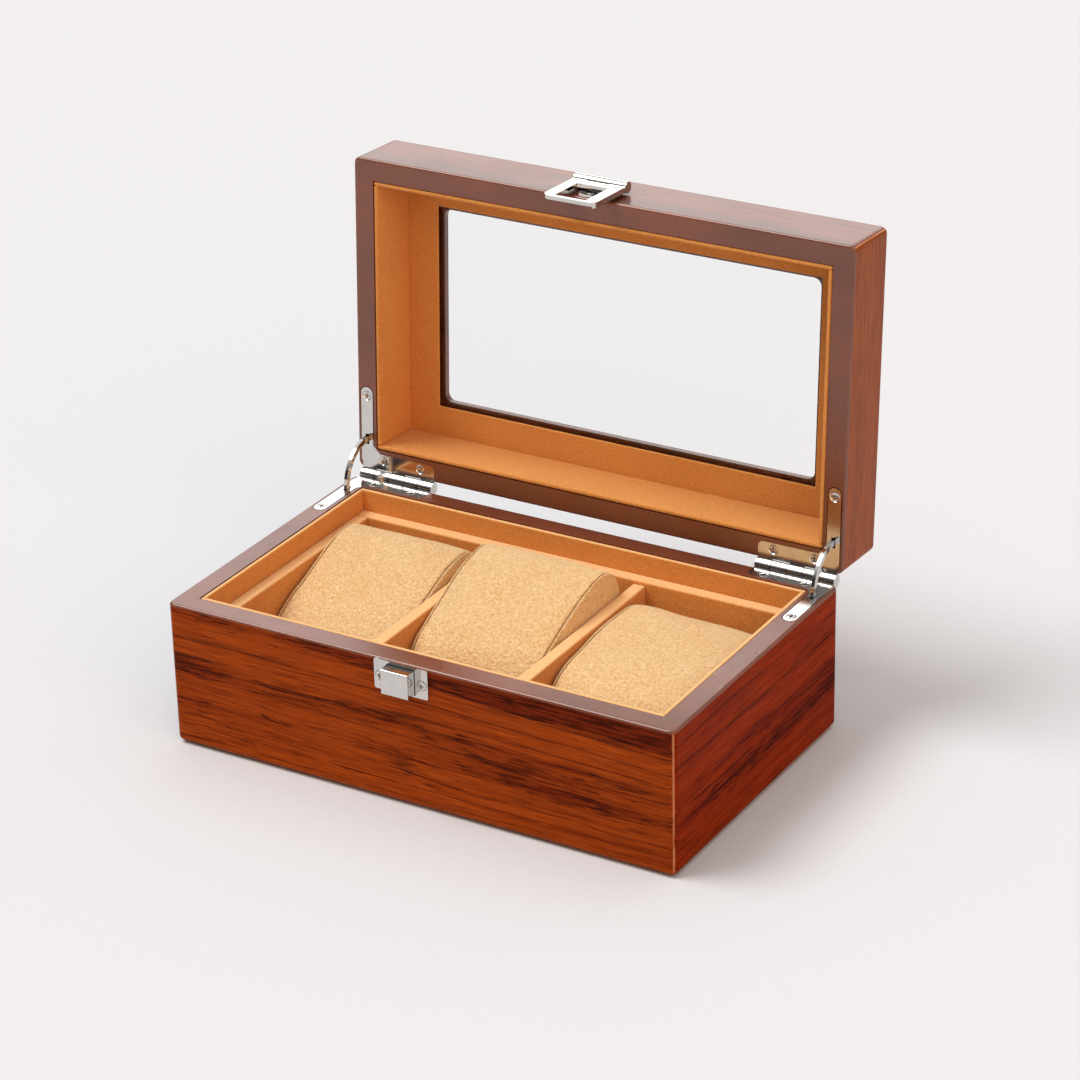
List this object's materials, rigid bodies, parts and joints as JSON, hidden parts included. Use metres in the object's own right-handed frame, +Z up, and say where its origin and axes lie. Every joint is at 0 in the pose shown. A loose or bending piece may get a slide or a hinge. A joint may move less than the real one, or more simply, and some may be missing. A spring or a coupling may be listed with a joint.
{
  "type": "watch box",
  "caption": "Wooden box with a hinged, glazed lid, push catch, stay hinges and a velvet-lined tray of lift-out cushions, each in its own compartment, for storing watches.",
  "frame": {"origin": "centre of the underside of the base", "axes": "+X to the right along the front, +Y to the hinged back, +Z up"},
  "size_m": [0.2, 0.1608, 0.1817],
  "materials": {
    "veneered_wood": "glossy lacquered rosewood veneer",
    "board": "plain fibreboard",
    "lining_velvet": "short tan velvet on board",
    "cushion_velvet": "tan velvet with a mottled nap",
    "foam": "soft foam filling",
    "plated_steel": "bright nickel plate",
    "spring_steel": "plain drawn wire",
    "glass": "clear polished pane",
    "felt": "dark brown pressed felt"
  },
  "bodies": {
    "base": {"base_front_wall": "veneered_wood", "base_back_wall": "veneered_wood", "base_left_wall": "veneered_wood", "base_right_wall": "veneered_wood", "underside_felt": "felt", "bottom_board": "board", "floor_liner": "lining_velvet", "liner_front": "lining_velvet", "liner_back": "lining_velvet", "liner_left": "lining_velvet", "liner_right": "lining_velvet", "rail_front": "lining_velvet", "rail_back": "lining_velvet", "rail_left": "lining_velvet", "rail_right": "lining_velvet", "divider_left": "lining_velvet", "divider_right": "lining_velvet", "hinge_base_plate_left": "plated_steel", "hinge_base_plate_right": "plated_steel", "hinge_pins": "plated_steel", "hinge_base_screws": "plated_steel", "catch_plate": "plated_steel", "catch_screws": "plated_steel", "catch_spring": "spring_steel"},
    "lid": {"lid_front_rail": "veneered_wood", "lid_back_rail": "veneered_wood", "lid_left_rail": "veneered_wood", "lid_right_rail": "veneered_wood", "lid_top_frame": "veneered_wood", "window_glass": "glass", "lid_inner_frame": "lining_velvet", "lid_liner_front": "lining_velvet", "lid_liner_back": "lining_velvet", "lid_liner_left": "lining_velvet", "lid_liner_right": "lining_velvet", "hinge_lid_plate_left": "plated_steel", "hinge_lid_plate_right": "plated_steel", "hinge_lid_screws": "plated_steel", "hasp_plate": "plated_steel", "hasp_pin": "plated_steel", "hasp_screws": "plated_steel"},
    "hasp_loop": {"hasp_loop": "plated_steel"},
    "catch_button": {"catch_button": "plated_steel"},
    "stay_left": {"stay_arm_left": "plated_steel"},
    "stay_right": {"stay_arm_right": "plated_steel"},
    "cushion_left": {"cushion_left_cover": "cushion_velvet", "cushion_left_core": "foam"},
    "cushion_centre": {"cushion_centre_cover": "cushion_velvet", "cushion_centre_core": "foam"},
    "cushion_right": {"cushion_right_cover": "cushion_velvet", "cushion_right_core": "foam"}
  },
  "joints": [
    {"name": "lid_hinge", "type": "hinge", "parent": "base", "child": "lid", "pos_m": [0, 0.0625, 0.0552], "axis": [1, 0, 0], "range_deg": [0, 93]},
    {"name": "stay_left_swing", "type": "hinge", "parent": "base", "child": "stay_left", "pos_m": [-0.096, 0.0625, 0.0552], "axis": [1, 0, 0], "range_deg": [0, 46.5]},
    {"name": "stay_right_swing", "type": "hinge", "parent": "base", "child": "stay_right", "pos_m": [0.096, 0.0625, 0.0552], "axis": [1, 0, 0], "range_deg": [0, 46.5]},
    {"name": "hasp_swing", "type": "hinge", "parent": "lid", "child": "hasp_loop", "pos_m": [-0.0037, 0.08033, 0.17954], "axis": [-1, 0, 0], "range_deg": [0, 100]},
    {"name": "catch_press", "type": "slide", "parent": "base", "child": "catch_button", "axis": [0, 1, 0], "range_m": [0, 0.0034], "stiffness_N_per_m": 300, "springref_m": -0.002, "deforming": ["catch_spring"]},
    {"name": "cushion_left_lift", "type": "slide", "parent": "base", "child": "cushion_left", "axis": [0, 0, -1], "range_m": [-0.06, 0]},
    {"name": "cushion_centre_lift", "type": "slide", "parent": "base", "child": "cushion_centre", "axis": [0, 0, -1], "range_m": [-0.06, 0]},
    {"name": "cushion_right_lift", "type": "slide", "parent": "base", "child": "cushion_right", "axis": [0, 0, -1], "range_m": [-0.06, 0]}
  ],
  "couplings": [
    {"joint": "stay_left_swing", "follows": "lid_hinge", "ratio": 0.5},
    {"joint": "stay_right_swing", "follows": "lid_hinge", "ratio": 0.5}
  ]
}
